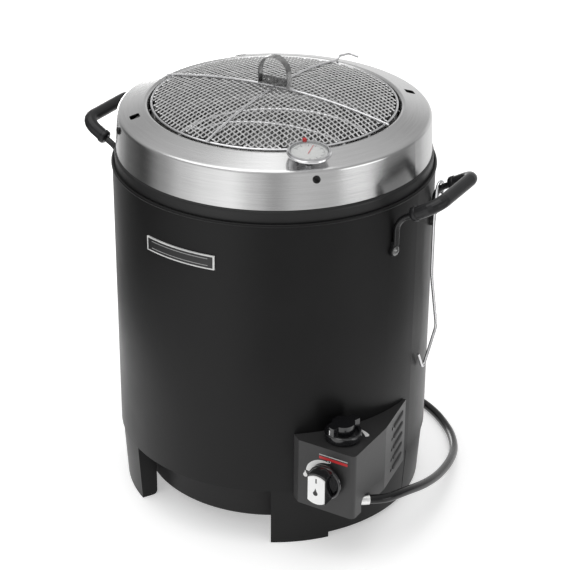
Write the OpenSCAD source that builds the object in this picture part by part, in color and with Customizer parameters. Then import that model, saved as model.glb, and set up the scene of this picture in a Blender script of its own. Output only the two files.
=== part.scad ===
// Oil-less turkey fryer: an upright steel pot on four sheet legs, with a gas burner underneath,
// a control box at the front right corner, a wire basket and a domed mesh lid.
// Origin: on the pot's vertical axis at floor level. -Y is the front, the carrying handles are at +X and -X.

/* [Pot] */
// Outer diameter of the painted shell
body_d = 420; // [400:2:440]
// Height of the shell's lower edge above the floor
shell_bottom = 85; // [78:1:90]
// Height of the shell's upper lip
shell_top = 468; // [460:1:472]
// Sheet thickness of the shell and the legs
sheet = 1.5; // [1.2:0.1:2]

/* [Top ring] */
// Diameter of the cooking opening
opening_d = 324; // [320:1:328]
// Height of the ring's inner lip, the highest edge of the pot
lip_z = 544; // [542:1:548]
// Height of the lower edge of the steel band
band_bottom = 484; // [482:1:486]
// Side of the square air holes
air_hole = 12.5; // [9:0.5:13]

/* [Lid and basket] */
// Height of the mesh dome above its rim
dome_rise = 16.5; // [14:0.5:20]
// Height of the lid handle above the dome
lid_handle_h = 43; // [38:1:50]
// Diameter of the basket's rings
basket_d = 264; // [250:2:268]
// Height of the basket's top ring
basket_top = 478; // [460:1:480]

/* [Carrying handles] */
// Diameter of the handle rod
rod_d = 8; // [7:0.5:9]
// Diameter of the grips
grip_d = 17; // [15:0.5:19]
// Distance from the pot's axis to the middle of the grips
grip_reach = 262; // [256:1:268]

/* [Control box] */
// Height of the box's top face
box_top = 172; // [168:1:176]
// Height of the box's lower edge
box_bottom = 78; // [74:1:82]
// Diameter of the two knobs
knob_d = 48; // [44:1:50]

/* [Gas hose] */
// Diameter of the rubber hose
hose_d = 12; // [11:0.5:13]

/* [Hidden] */
$fn = 96;

// Clearances: between parts of one body, and of a running fit
gap = 0.3;
fit = 0.08;

// ---- pot radii ----
body_r = body_d / 2;
shell_in = body_r - sheet;
opening_r = opening_d / 2;
ring_top_r = 202;       // radius of the ring where its band turns into its top face
band_r = 204.6;         // outer radius of the band at its lower edge
ring_edge_z = 535;      // height of that turn
chamber_r = 155;        // outer radius of the cooking chamber
chamber_t = 1;
firebox_r = 174;        // outer radius of the firebox drum
firebox_bottom = 21.5;
firebox_top = 472;
foot_out = 5;           // how far the legs lean in from top to floor

// ---- legs ----
window_half = 30;       // half angle of the open front and back
foot_angle = 22;        // width of each foot, as an angle
raised_edge = 8;        // clearance under the wall between two feet
flange_w = 27;

// ---- burner ----
burner_z = 118;
burner_r = 130;
burner_tube = 22;
valve_angle = -40;      // direction from the axis to the gas valve

// ---- control box ----
box_front = -174;
box_left = 142;
box_right = 221.5;
knob_x = 184;
knob_z = 127;
knob_travel = 4.4;      // room behind the front knob for pushing it in
grip_w = 24.6;          // width of the front knob's bar
spark_x = 187;
spark_y = -141;
arch_y = -141.5;        // middle of the arch that the gas fitting passes
arch_z = 87.5;
arch_r = 12.5;
box_wall = 2;
tab_angle = -44.6;      // direction of the two screws that hold the box
tab_z = [98, 159];
wire_angle = -46.3;     // where the spark wire passes the shell
wire_z = 141.5;
spark_height = 133;     // height of the electrode
spark_angle = -52;

// ---- carrying handles ----
handle_angle = 14.4;    // from the X axis to each foot
rod_r = body_r + gap + rod_d / 2;
leg_x = rod_r * cos(handle_angle);
leg_y = rod_r * sin(handle_angle);
foot_z = 405;
knee_z = 433;
knee_r = 25;
slope = 31;             // rise of the upper part of the handle
corner_r = 18;
function mirror_y(p) = [p[0], -p[1], p[2]];
foot = [leg_x, leg_y, foot_z + 9];
knee = [leg_x, leg_y, knee_z + knee_r * tan((90 - slope) / 2)];
elbow = [grip_reach, leg_y, knee[2] + (grip_reach - leg_x) * tan(slope)];
grip_start = elbow - 38 * [cos(slope), 0, sin(slope)];

// ---- lid ----
lid_r = 157.5;
lid_z = 544.9;
dome_r = (lid_r * lid_r + dome_rise * dome_rise) / (2 * dome_rise);
dome_centre_z = lid_z + dome_rise - dome_r;
lid_wire = 3.2;
handle_strap = 10;       // width of the lid handle's strap
handle_half = 21;        // half of the handle's width

// ---- basket ----
basket_r = basket_d / 2;
basket_bottom = 152;
basket_foot = 139.4;
basket_wires = 20;
bail_reach = 74;

// ---- lifting hook ----
hook_x = 214.2;
hook_wire = 4;
hook_r = 9.4;
hook_z = 450.2;

// ---- thermometer ----
probe_r = 186;
probe_angle = -46.6;
probe_tilt = 5;
dial_r = 26.5;

// ---- hose: hand-laid points from the ferrule at the box to the regulator behind the pot ----
hose_route = [[225, -137, 89], [241, -118, 86], [249, -80, 77], [252, -30, 61], [248, 23, 45], [237, 80, 30],
    [220, 131, 17], [195, 175, 9], [169, 204, 6.2], [145, 223, 6.2], [118, 238, 6.2], [88, 248, 6.2],
    [56, 254, 6.2], [24, 256, 6.2], [0, 256, 7], [-22, 256, 11], [-42, 256, 16.6], [-52, 256, 19.6]];
hose_start = hose_route[0];
ferrule_l = 14.8;
valve_outlet = [194, -159, 92];
ferrule_d = hose_d + 1.6;
regulator_at = [-100, 256, 24.5];
inlet_end = [-65.2, 256, 23.6];
nut_x = -144;           // the coupling nut's back face

// ---------- helpers ----------
function unit(v) = v / norm(v);
function left_of(v) = [-v[1], v[0]];
function seg(p, i) = unit(p[min(i + 1, len(p) - 1)] - p[min(i, len(p) - 2)]);
function corner(p, i) = let(a = left_of(seg(p, max(i - 1, 0))), b = left_of(seg(p, i)))
    unit(a + b) / sqrt((1 + a * b) / 2);
// Points of an arc, and the closed outline of a sheet of thickness t that follows a centre line
function arc(cx, cy, r, a0, a1, n = 6) = [for (i = [0:n]) let(a = a0 + (a1 - a0) * i / n)
    [cx + r * cos(a), cy + r * sin(a)]];
function strip(p, t) = concat([for (i = [0:len(p) - 1]) p[i] + corner(p, i) * t / 2],
    [for (i = [len(p) - 1:-1:0]) p[i] - corner(p, i) * t / 2]);
function polar(r, a, z) = [r * cos(a), r * sin(a), z];

module sheet_ring(path, t) rotate_extrude($fn = 180) polygon(strip(path, t));

module rod(a, b, d) {
    v = b - a;
    translate(a) rotate([0, acos(v[2] / norm(v)), atan2(v[1], v[0])]) cylinder(d = d, h = norm(v));
}

// A route with its inner corners rounded to radius r (one number, or one for each corner)
function round_corner(a, b, c, r, n) = let(d1 = unit(a - b), d2 = unit(c - b), th = acos(d1 * d2),
    m = b + unit(d1 + d2) * r / sin(th / 2), s = unit(b + d1 * r / tan(th / 2) - m))
    [for (k = [0:n]) m + r * (cos((180 - th) * k / n) * s - sin((180 - th) * k / n) * d1)];
function bent(route, r, n = 6) = concat([route[0]],
    [for (i = [1:len(route) - 2]) each round_corner(route[i - 1], route[i], route[i + 1], is_list(r) ? r[i - 1] : r, n)],
    [route[len(route) - 1]]);

// Direction of a path at each of its points, and a side direction carried along it without twist
function path_dirs(p) = let(n = len(p) - 1) [for (i = [0:n]) unit(unit(p[min(i + 1, n)] - p[min(i, n - 1)])
    + unit(p[max(i, 1)] - p[max(i - 1, 0)]))];
function square_to(u, t) = unit(u - (u * t) * t);
function carried(dirs, u, i = 0) = i >= len(dirs) ? [] : let(n = square_to(u, dirs[i])) concat([n], carried(dirs, n, i + 1));
function rings(p, d, sides, side) = let(t = path_dirs(p), u = carried(t, side))
    [for (i = [0:len(p) - 1]) for (k = [0:sides - 1])
        p[i] + d / 2 * (cos(360 * k / sides) * u[i] + sin(360 * k / sides) * cross(t[i], u[i]))];
function skin(first, count, sides) = [for (i = [0:count - 2]) for (k = [0:sides - 1])
    let(a = first + i * sides + k, b = first + i * sides + (k + 1) % sides) [a, a + sides, b + sides, b]];
function reversed(l) = [for (i = [len(l) - 1:-1:0]) l[i]];

// A round wire or hose swept along a path
module wire(p, d, sides = 16, side = [0, 0, 1]) polyhedron(rings(p, d, sides, side), concat(skin(0, len(p), sides),
    [[for (k = [0:sides - 1]) k], [for (k = [sides - 1:-1:0]) (len(p) - 1) * sides + k]]), convexity = 8);

// A sleeve of outer diameter d and bore b swept along a path
module sleeve(p, d, b, sides = 20, side = [0, 0, 1]) {
    m = len(p) * sides;
    last = m - sides;
    polyhedron(concat(rings(p, d, sides, side), rings(p, b, sides, side)), concat(skin(0, len(p), sides),
        [for (f = skin(m, len(p), sides)) reversed(f)],
        [for (k = [0:sides - 1]) [k, (k + 1) % sides, m + (k + 1) % sides, m + k]],
        [for (k = [0:sides - 1]) [last + (k + 1) % sides, last + k, m + last + k, m + last + (k + 1) % sides]]),
        convexity = 8);
}

module torus(r, d, z = 0) translate([0, 0, z]) rotate_extrude($fn = 180) translate([r, 0]) circle(d = d, $fn = 32);

module at_angles(list) for (a = list) rotate([0, 0, a]) children();

// A smooth curve through hand-laid points
function between(p, t) = let(i = min(floor(t), len(p) - 2), f = t - i, a = p[max(i - 1, 0)], b = p[i], c = p[i + 1],
    d = p[min(i + 2, len(p) - 1)])
    0.5 * (2 * b + (c - a) * f + (2 * a - 5 * b + 4 * c - d) * f * f + (3 * b - a - 3 * c + d) * f * f * f);
function smooth(p, steps) = [for (i = [0:steps]) between(p, (len(p) - 1) * i / steps)];

// ---------- shell and top ----------
module outer_shell() color("#232325") difference() {
    union() {
        rotate_extrude($fn = 180) translate([shell_in, shell_bottom]) square([sheet, shell_top - shell_bottom - 2]);
        torus(body_r - 0.8, 4, shell_top - 2);
    }
    for (side = [0, 180], a = [-handle_angle, handle_angle])
        rotate([0, 0, side + a]) translate([body_r - 8, 0, foot_z]) rotate([0, 90, 0]) cylinder(d = 6.4, h = 16);
    rotate([0, 0, valve_angle]) translate([body_r - 20, 0, burner_z]) rotate([0, 90, 0]) cylinder(d = 26, h = 40);
    rotate([0, 0, wire_angle]) translate([body_r - 20, 0, wire_z]) rotate([0, 90, 0]) cylinder(d = 9, h = 40);
    for (z = tab_z) rotate([0, 0, tab_angle]) translate([body_r - 9, 0, z]) rotate([0, 90, 0]) cylinder(d = 4.4, h = 16);
}

module shoulder_collar() color("#2c2c2e")
    sheet_ring(concat([[206, 452], [206, 478]], arc(202.5, 479.7, 3.5, 0, 90, 4), [[194, 483.2]]), 1.5);

// Square with rounded corners, for cutting an air hole
module air_hole_tool() linear_extrude(20) difference() {
    square(air_hole, center = true);
    for (x = [-1, 1], y = [-1, 1]) translate([x, y] * air_hole / 2) difference() {
        square(4, center = true);
        translate([-x, -y] * 2) circle(r = 2, $fn = 32);
    }
}

module top_ring() color("#c9c9c6") difference() {
    sheet_ring(concat([[band_r - 0.6, band_bottom + 0.3], [ring_top_r - 0.4, ring_edge_z - 5.5]],
        arc(ring_top_r - 5.4, ring_edge_z - 5.7, 5, 4, 76, 6),
        [[opening_r + 6, lip_z - 0.9]], arc(opening_r + 4.4, lip_z - 4.4, 3.8, 78, 180, 6), [[opening_r + 0.6, 528]]), 1.2);
    at_angles([45, 135, 225]) translate([182, 0, 530]) air_hole_tool();
    rotate([0, 0, probe_angle]) translate([probe_r - 2.4, 0, 530]) air_hole_tool();
    at_angles([45, 135, 225, 315]) translate([195, 0, 522]) rotate([0, 90, 0]) cylinder(d = 5, h = 14);
}

module ring_screws() color("#1a1a1a") at_angles([45, 135, 225, 315]) translate([202.9, 0, 522]) rotate([0, 90, 0])
    difference() {
        union() {
            rotate_extrude() polygon(concat([[0, 0], [4.8, 0]], arc(2.6, 0.6, 2.2, 0, 80, 4), [[0, 3]]));
            translate([0, 0, -8]) cylinder(d = 4.6, h = 8.5);
        }
        for (a = [0, 90]) rotate([0, 0, a]) translate([-2.4, -0.5, 1.6]) cube([4.8, 1, 3]);
    }

module ring_brackets() color("#9a9a98") at_angles([45, 135, 225, 315]) difference() {
    union() {
        translate([198.2, -12, band_bottom + 0.4]) cube([1.6, 24, 46]);
        translate([192, -12, band_bottom + 0.4]) cube([7, 24, 1.6]);
    }
    translate([190, 0, 522]) rotate([0, 90, 0]) cylinder(d = 4.76, h = 14);
}

module badge_plate() color("#d8d8d8") rotate([0, 0, -107.5]) rotate_extrude(angle = 28, $fn = 180)
    translate([body_r + 0.2, 401]) square([2, 19]);

// ---------- chamber and firebox ----------
module cooking_chamber() color("#b8b4ae") {
    rotate_extrude($fn = 180) translate([chamber_r - chamber_t, 150]) square([chamber_t, 376]);
    torus(chamber_r + 1.4, 4, 527);
}

module chamber_floor() color("#a9a59f") {
    sheet_ring([[153.2, 150], [153.2, 143], [148, 139], [16, 133], [12, 129], [12, 30]], 1.2);
}

module firebox_wall() color("#1d1d1f") difference() {
    sheet_ring([[162, firebox_bottom + 0.6], [171, firebox_bottom + 0.6], [173.4, firebox_bottom + 3],
        [173.4, firebox_top]], 1.2);
    rotate([0, 0, valve_angle]) translate([160, 0, burner_z]) rotate([0, 90, 0]) cylinder(d = 23.2, h = 30);
    rotate([0, 0, spark_angle]) translate([160, 0, spark_height]) rotate([0, 90, 0]) cylinder(d = 9.4, h = 30);
}

module firebox_floor() color("#3a3a3c") difference() {
    translate([0, 0, firebox_bottom + 1.2]) cylinder(r = 170.4, h = 1.5, $fn = 180);
    translate([0, 0, firebox_bottom]) cylinder(r = 15, h = 5);
    at_angles([15:30:345]) translate([112, 0, firebox_bottom]) cylinder(d = 26, h = 5);
}

module spacer_brackets() color("#8e8e8c") at_angles([0, 90, 180, 270]) {
    translate([chamber_r + 2.6, -10, firebox_top + 1]) cube([46.9, 20, 2]);
    translate([firebox_r + 0.4, -10, firebox_top - 24]) cube([2, 20, 26]);
    translate([202.5, -10, firebox_top - 18]) cube([2, 20, 20]);
}

// ---------- legs ----------
// One leg: a sixty degree wall that leans in, a foot next to the open window, and a flange turned inwards
module leg() {
    top_r = shell_in - gap;
    difference() {
        rotate([0, 0, window_half - 90]) rotate_extrude(angle = 90 - window_half - 0.2, $fn = 180)
            polygon([[top_r - foot_out - sheet, 0], [top_r - foot_out, 0], [top_r, shell_bottom],
                [top_r, shell_bottom + 24], [top_r - sheet, shell_bottom + 24], [top_r - sheet, shell_bottom]]);
        rotate([0, 0, window_half - 90 + foot_angle]) rotate_extrude(angle = 60, $fn = 180)
            translate([180, -1]) square([40, raised_edge + 1]);
        rotate([0, 0, valve_angle]) translate([190, 0, burner_z]) rotate([0, 90, 0]) cylinder(d = 28, h = 40);
        rotate([0, 0, tab_angle]) translate([190, 0, tab_z[0]]) rotate([0, 90, 0]) cylinder(d = 4.4, h = 40);
    }
    rotate([0, 0, window_half - 90]) translate([0, sheet, 0]) rotate([90, 0, 0]) linear_extrude(sheet)
        polygon(concat([[top_r - foot_out - sheet / 2, 0], [top_r - sheet / 2, shell_bottom], [top_r - sheet / 2, 104],
            [top_r - flange_w, 104]], arc(top_r - flange_w + 6, 6, 6, 180, 270, 4)));
}
module leg_front_right() color("#262628") leg();
module leg_front_left() color("#262628") mirror([1, 0, 0]) leg();
module leg_rear_right() color("#262628") mirror([0, 1, 0]) leg();
module leg_rear_left() color("#262628") mirror([0, 1, 0]) mirror([1, 0, 0]) leg();

module leg_straps() color("#2f2f31") for (side = [0, 180], z = [20, 60]) {
    r = shell_in - gap - foot_out - sheet + z * foot_out / shell_bottom;
    rotate([0, 0, side - 5]) rotate_extrude(angle = 10, $fn = 180)
        polygon([[r - 2.1, z], [r - 0.3, z], [r + 0.5, z + 14], [r - 1.3, z + 14]]);
}

// ---------- burner ----------
module burner_ring() color("#77736c") difference() {
    torus(burner_r, burner_tube, burner_z);
    torus(burner_r, burner_tube - 3, burner_z);
    at_angles([0:15:345]) translate([burner_r, 0, burner_z]) cylinder(d = 3, h = 20);
    rotate([0, 0, valve_angle]) translate([burner_r, 0, burner_z]) rotate([0, 90, 0]) cylinder(d = 16, h = 20);
}

module burner_posts() color("#8e8e8c") at_angles([20, 140, 260]) {
    translate([burner_r - 8, -6, firebox_bottom + 2.8]) cube([16, 12, 2]);
    translate([burner_r - 1.5, -6, firebox_bottom + 2.8]) cube([3, 12, burner_z - burner_tube / 2 - firebox_bottom - 3.1]);
}

module venturi_tube() color("#8a857d") rotate([0, 0, valve_angle]) translate([0, 0, burner_z]) rotate([0, 90, 0])
    difference() {
        union() {
            translate([0, 0, 136.5]) cylinder(d = 19, h = 91);
            translate([0, 0, 216]) cylinder(d = 23, h = 12);
        }
        translate([0, 0, 130]) cylinder(d = 16, h = 90);
        translate([0, 0, 219]) cylinder(d = 20, h = 20);
    }

module igniter_electrode() color("#e8e4da") rotate([0, 0, spark_angle]) translate([0, 0, spark_height])
    rotate([0, 90, 0]) {
        translate([0, 0, 140]) cylinder(d = 7, h = 38);
        translate([0, 0, 167]) cylinder(d = 9, h = 4);
        translate([0, 0, 131]) cylinder(d = 2.4, h = 9.5);
    }

module igniter_wire() color("#c8c8c8") wire(bent([polar(178.4, spark_angle, spark_height),
    polar(190, spark_angle + 0.4, spark_height + 1), polar(202, wire_angle - 0.3, wire_z),
    polar(221, wire_angle + 0.1, wire_z), [spark_x - 10.4, spark_y - 4, 152]], 7), 3, 10);

// ---------- grease tray ----------
module tray_rails() color("#8e8e8c") for (side = [-1, 1]) scale([side, 1, 1]) {
    translate([84, -110, 16.4]) cube([1.5, 220, 6]);
    translate([76, -110, 16.4]) cube([9, 220, 1.5]);
    translate([84, -110, 20.9]) cube([12, 220, 1.5]);
}

module grease_tray() color("#8f8f8d") difference() {
    translate([-82, -105, 4]) cube([164, 210, 15.5]);
    translate([-74, -103.8, 5.2]) cube([148, 207.6, 20]);
    for (side = [-1, 1]) translate([side * 82 - 6.8, -110, -1]) cube([13.6, 220, 19.1]);
}

module tray_handle() color("#1a1a1a")
    wire(bent([[-30, -105, 12], [-30, -125, 12], [30, -125, 12], [30, -105, 12]], 8), 5);

// ---------- control box ----------
box_path = concat([[box_left - 14.5, box_front + 11], [box_left, box_front]],
    arc(box_right - 5, box_front + 5, 5, -90, 0, 5), [[222.5, -92], [211.8, -16]]);
box_outer = [for (i = [0:len(box_path) - 1]) box_path[i] - corner(box_path, i) * box_wall / 2];

module control_box() color("#3a3a3d") difference() {
    union() {
        translate([0, 0, box_bottom]) linear_extrude(box_top - box_bottom) polygon(strip(box_path, box_wall));
        translate([0, 0, box_top - box_wall]) linear_extrude(box_wall) polygon(concat(box_outer, [[190, -16], [130, -140]]));
        for (z = tab_z) rotate([0, 0, tab_angle - 7]) rotate_extrude(angle = 10, $fn = 180)
            translate([body_r, z - 7]) square([2.2, 14]);
    }
    cylinder(r = body_r + gap, h = 300, $fn = 180);
    for (z = tab_z) rotate([0, 0, tab_angle]) translate([body_r - 5, 0, z]) rotate([0, 90, 0]) cylinder(d = 4.4, h = 12);
    translate([knob_x, box_front - 5, knob_z]) rotate([-90, 0, 0]) cylinder(d = 9.2, h = 10);
    translate([spark_x, spark_y, box_top - 5]) cylinder(d = 10.2, h = 10);
    // arch for the gas fitting
    translate([box_right - 8, arch_y, arch_z]) rotate([0, 90, 0]) cylinder(r = arch_r, h = 20);
    translate([box_right - 8, arch_y - arch_r, arch_z - 30]) cube([20, 2 * arch_r, 30]);
    // louvre slots in the rear panel, each with a round hole at its front end
    translate([222.5, -92, 0]) rotate([0, 0, 98]) for (i = [0:4]) translate([25, 0, 92 + 16 * i]) {
        rotate([0, -4, 0]) translate([5, -5, -2]) cube([36, 10, 4.4]);
        rotate([90, 0, 0]) cylinder(d = 5, h = 12, center = true);
    }
}

module box_screws() color("#1a1a1a") for (z = tab_z) rotate([0, 0, tab_angle]) translate([0, 0, z]) rotate([0, 90, 0]) {
    translate([0, 0, body_r - 8]) cylinder(d = 4, h = 12);
    translate([0, 0, body_r + 2.6]) cylinder(d = 8, h = 2.6);
}

module gas_valve() color("#c9a24a") difference() {
    union() {
        translate([knob_x - 13, -168, knob_z - 20]) cube([26, 17, 31]);
        translate([knob_x, -171.6, knob_z]) rotate([-90, 0, 0]) cylinder(d = 16, h = 5);
        rotate([0, 0, valve_angle]) translate([224, 0, burner_z]) rotate([0, 90, 0]) cylinder(d = 8, h = 14);
        translate([knob_x + 10, -159, 92]) cylinder(d = 11, h = 20);
        translate([knob_x + 10, -159, 92]) sphere(d = 11.4);
    }
    translate([knob_x, -172, knob_z]) rotate([-90, 0, 0]) cylinder(d = 8.4, h = 18);
}

module valve_plunger() color("#b0894a") translate([knob_x, -162, knob_z]) rotate([-90, 0, 0]) cylinder(d = 8.2, h = 3);

module valve_stem() color("#b0894a") translate([knob_x, -183, knob_z]) rotate([-90, 0, 0]) cylinder(d = 7, h = 20.6);

// A knob on the XY plane: a shallow disc with a raised rim, and a bar grip of width w along Y, with a round hub
module knob(stem, rim, top, w, hub) difference() {
    union() {
        rotate_extrude() polygon(concat([[0, 0], [knob_d / 2 - 3, 0]], arc(knob_d / 2 - 3, 3, 3, -90, 0, 4),
            arc(knob_d / 2 - 2.4, rim - 2.4, 2.4, 0, 180, 6), [[knob_d / 2 - 6, rim - 4], [0, rim - 4]]));
        intersection() {
            union() {
                translate([-w / 2, -knob_d / 2, 0]) cube([w, knob_d, top]);
                cylinder(r = hub, h = top);
            }
            cylinder(r = knob_d / 2 - 1, h = top);
        }
    }
    translate([0, 0, -1]) cylinder(d = stem, h = rim);
}

module control_knob() color("#17171a") translate([knob_x, box_front - knob_travel, knob_z]) rotate([90, 0, 0])
    knob(7.1, 7, 24.4, grip_w, 6);

module knob_insert() color("#eeeeee") translate([knob_x, box_front - knob_travel - 24.5, knob_z]) rotate([90, 0, 0])
    intersection() {
        translate([-grip_w / 2 + 0.4, -21, 0]) cube([grip_w - 0.8, 42, 1.6]);
        cylinder(r = 20.4, h = 3);
    }

module igniter_module() color("#202022") translate([spark_x, spark_y, 0]) difference() {
    translate([0, 0, 143]) cylinder(d = 20, h = 26.6);
    translate([0, 0, 155]) cylinder(d = 6.2, h = 20);
}

module igniter_spindle() color("#bdbdbd") translate([spark_x, spark_y, 156]) cylinder(d = 6, h = 27);

module igniter_knob() color("#121214") translate([spark_x, spark_y, box_top + 0.6]) rotate([0, 0, -20])
    knob(6.1, 12, 23, 13, 15);

// ---------- hose and regulator ----------
hose_path = smooth(hose_route, 66);
hose_dir = unit(hose_path[1] - hose_path[0]);
ferrule_start = hose_start - ferrule_l * hose_dir;
module hose_fitting() color("#d0b060") {
    hex_start = ferrule_start - 8 * hose_dir;
    dir = unit(hex_start - valve_outlet);
    rod(valve_outlet + 6.2 * dir, hex_start + 3 * dir, 8.4);
    rod(hex_start, ferrule_start - 0.4 * hose_dir, 13, $fn = 6);
}
module hose_ferrule_valve() color("#e0e0dc") rod(ferrule_start, hose_start - 0.3 * hose_dir, ferrule_d);
module gas_hose() color("#1b1b1d") wire(hose_path, hose_d, 12);
module hose_ferrule_regulator() color("#e0e0dc") rod([-52.3, 256, 19.7], inlet_end, ferrule_d);
// A flat round pressure regulator, lying on the floor
module regulator_body() color("#8c8c8c") translate([regulator_at[0], regulator_at[1], 0]) {
    rotate_extrude() polygon([[0, 0], [21, 0], [30, 14], [32.5, 17], [32.5, 23], [30, 26], [22, 33], [0, 33]]);
    translate([32, 0, regulator_at[2]]) rotate([0, -90, 0]) cylinder(d = 15, h = 12);
    translate([-28, 0, regulator_at[2]]) rotate([0, -90, 0]) cylinder(d = 22, h = 9.8);
}
module regulator_cap() color("#b02020") translate([regulator_at[0], regulator_at[1], 33.3])
    rotate_extrude() polygon([[0, 0], [17, 0], [15, 4], [8, 4.6], [8, 8], [0, 8]]);
module tank_nipple() color("#c9a24a") translate([nut_x + 5.9, 256, regulator_at[2]]) rotate([0, -90, 0])
    rotate_extrude() polygon([[0, 0], [7, 0], [7, 18], [10, 18], [10, 21], [6, 21], [5, 22.4], [0, 22.4]]);
// Hand nut for the gas bottle: a ribbed wheel with a back web, a recess for the nipple and a wide thread bore
module tank_nut() color("#16161a") translate([nut_x, 256, regulator_at[2]]) rotate([0, -90, 0]) difference() {
    union() {
        cylinder(d = 44, h = 40);
        for (a = [0:30:330]) rotate([0, 0, a]) translate([20, -2.5, 0]) cube([4, 5, 40]);
    }
    translate([0, 0, -1]) cylinder(d = 14 + 2 * fit, h = 14);
    translate([0, 0, 10]) cylinder(d = 22, h = 10);
    translate([0, 0, 17]) cylinder(d = 33.3, h = 30);
}

// ---------- carrying handles ----------
module handle_rod() {
    wire(bent([foot, knee, elbow, mirror_y(elbow), mirror_y(knee), mirror_y(foot)],
        [knee_r, corner_r, corner_r, knee_r]), rod_d, 20, [0, 1, 0]);
    for (a = [-handle_angle, handle_angle]) rotate([0, 0, a]) translate([body_r + gap, 0, 0]) difference() {
        union() {
            translate([0, 0, foot_z]) rotate([0, 90, 0]) cylinder(r = 8, h = 4);
            translate([0, -5, foot_z]) cube([4, 10, 14]);
        }
        translate([-1, 0, foot_z]) rotate([0, 90, 0]) cylinder(d = 6.4, h = 6);
    }
}
module handle_grip() sleeve(bent([grip_start, elbow, mirror_y(elbow), mirror_y(grip_start)], corner_r),
    grip_d, rod_d + 0.2, 20, [0, 1, 0]);
module handle_rod_right() color("#161618") handle_rod();
module handle_rod_left() color("#161618") mirror([1, 0, 0]) handle_rod();
module handle_grip_right() color("#1d1d20") handle_grip();
module handle_grip_left() color("#1d1d20") mirror([1, 0, 0]) handle_grip();
module handle_bolts() color("#202020") for (side = [0, 180], a = [-handle_angle, handle_angle])
    rotate([0, 0, side + a]) translate([0, 0, foot_z]) rotate([0, 90, 0]) {
        translate([0, 0, body_r - 11]) cylinder(d = 6.2, h = 16 + gap);
        translate([0, 0, body_r + 4.4 + gap]) rotate_extrude()
            polygon(concat([[0, 0], [6.3, 0]], arc(0, -7, 9.4, 50, 90, 4)));
        translate([0, 0, body_r - 8.6]) cylinder(d = 11.5, h = 6, $fn = 6);
    }

// ---------- thermometer, upright in the front right air hole ----------
module on_probe() rotate([0, 0, probe_angle]) translate([probe_r, 0, 541]) rotate([0, probe_tilt, 0]) children();
module thermometer_case() color("#d4d4d2") on_probe() difference() {
    union() {
        translate([0, 0, -90]) cylinder(d = 4, h = 91);
        rotate_extrude() polygon(concat([[0, 0.5], [4.6, 0.5], [4.6, 3.2], [12, 6], [dial_r - 2.5, 8.2]],
            arc(dial_r - 1.2, 10.2, 2, -90, 60, 5), [[dial_r - 1.2, 13.4], [0, 13.4]]));
    }
    translate([0, 0, 9.4]) cylinder(r = dial_r - 3, h = 6);
}
module thermometer_dial() color("#f4f4f2") on_probe() difference() {
    translate([0, 0, 9.5]) cylinder(r = dial_r - 3.2, h = 0.8);
    translate([0, 0, 9]) cylinder(d = 2.2, h = 3);
}
module thermometer_pointer() color("#c03028") on_probe() {
    translate([0, 0, 9.6]) cylinder(d = 2, h = 1.5);
    rotate([0, 0, 150]) translate([-5, -0.6, 10.6]) cube([23, 1.2, 0.5]);
}
module thermometer_lens() color([0.85, 0.92, 0.95, 0.4]) on_probe()
    translate([0, 0, 11.8]) cylinder(r = dial_r - 3.2, h = 1.2);

// ---------- lid ----------
module lid_rim() color("#c4c4c4") torus(lid_r, lid_wire, lid_z - 1.4);
module lid_mesh() color("#bdbdbd") translate([0, 0, dome_centre_z]) rotate_extrude($fn = 180)
    polygon(concat(arc(0, 0, dome_r + 0.6, 90 - asin((lid_r - 2.1) / dome_r), 90, 12),
        arc(0, 0, dome_r - 0.6, 90, 90 - asin((lid_r - 2.1) / dome_r), 12)));
// Points of a wire that follows the dome from -reach to +reach
wire_lift = 0.9 + lid_wire / 2;
function over_dome(reach) = let(h = asin(reach / dome_r)) [for (i = [-8:8])
    [0, (dome_r + wire_lift) * sin(h * i / 8), dome_centre_z + (dome_r + wire_lift) * cos(h * i / 8)]];
// The wire from front to back ends in a small hook behind the rim
module lid_cross_wires() color("#cccccc") {
    wire(concat(over_dome(162), bent([[0, 166, lid_z + 1.3], [0, 172, lid_z + 5], [0, 200, lid_z - 0.5],
        [14, 199, lid_z - 2]], [8, 4], 4)), lid_wire, 16, [1, 0, 0]);
    rotate([0, 0, 90]) wire(over_dome(164), lid_wire, 16, [1, 0, 0]);
}
// A flat strap bent into an arch, with an upright plate between its legs
module lid_handle() color("#d0d0d0") {
    base = lid_z + dome_rise + wire_lift + lid_wire / 2 + 0.2;
    apex = lid_z + dome_rise + lid_handle_h;
    translate([0, handle_strap / 2, 0]) rotate([90, 0, 0]) linear_extrude(handle_strap)
        polygon(strip(concat([[-handle_half, base]], arc(0, apex - handle_half, handle_half, 180, 0, 16),
            [[handle_half, base]]), 1.6));
    difference() {
        translate([0.4 - handle_half, -0.6, base]) cube([2 * handle_half - 0.8, 1.2, 11]);
        for (x = [-16, -9]) translate([x, -2, base + 6]) rotate([-90, 0, 0]) cylinder(d = 3, h = 4, $fn = 32);
    }
}

// ---------- basket ----------
module basket_rings() color("#bfbfbf") {
    torus(basket_r - 1, 6, basket_top);
    for (z = [230:60:410]) torus(basket_r, 4, z);
    torus(basket_r - 0.5, 5, basket_bottom);
    for (s = [0, 1]) mirror([s, 0, 0]) translate([basket_r - 7.5, 0, basket_top]) rotate([0, 90, 0]) difference() {
        cylinder(d = 11, h = 4.6);
        translate([0, 0, -1]) cylinder(d = 5.16, h = 4.4);
    }
}
module basket_uprights() color("#bfbfbf") at_angles([9:360 / basket_wires:351])
    translate([basket_r + 4.1, 0, basket_foot]) cylinder(d = 4, h = basket_top - basket_foot);
module basket_floor() color("#b5b5b5") {
    for (i = [-7:7]) let(x = i * 16, l = sqrt(pow(basket_r - 2, 2) - x * x))
        rod([x, -l, basket_bottom + 4.2], [x, l, basket_bottom + 4.2], 4);
    for (y = [-50, 50]) rod([-sqrt(pow(basket_r - 5, 2) - y * y), y, basket_bottom + 0.3],
        [sqrt(pow(basket_r - 5, 2) - y * y), y, basket_bottom + 0.3], 4);
}
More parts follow.
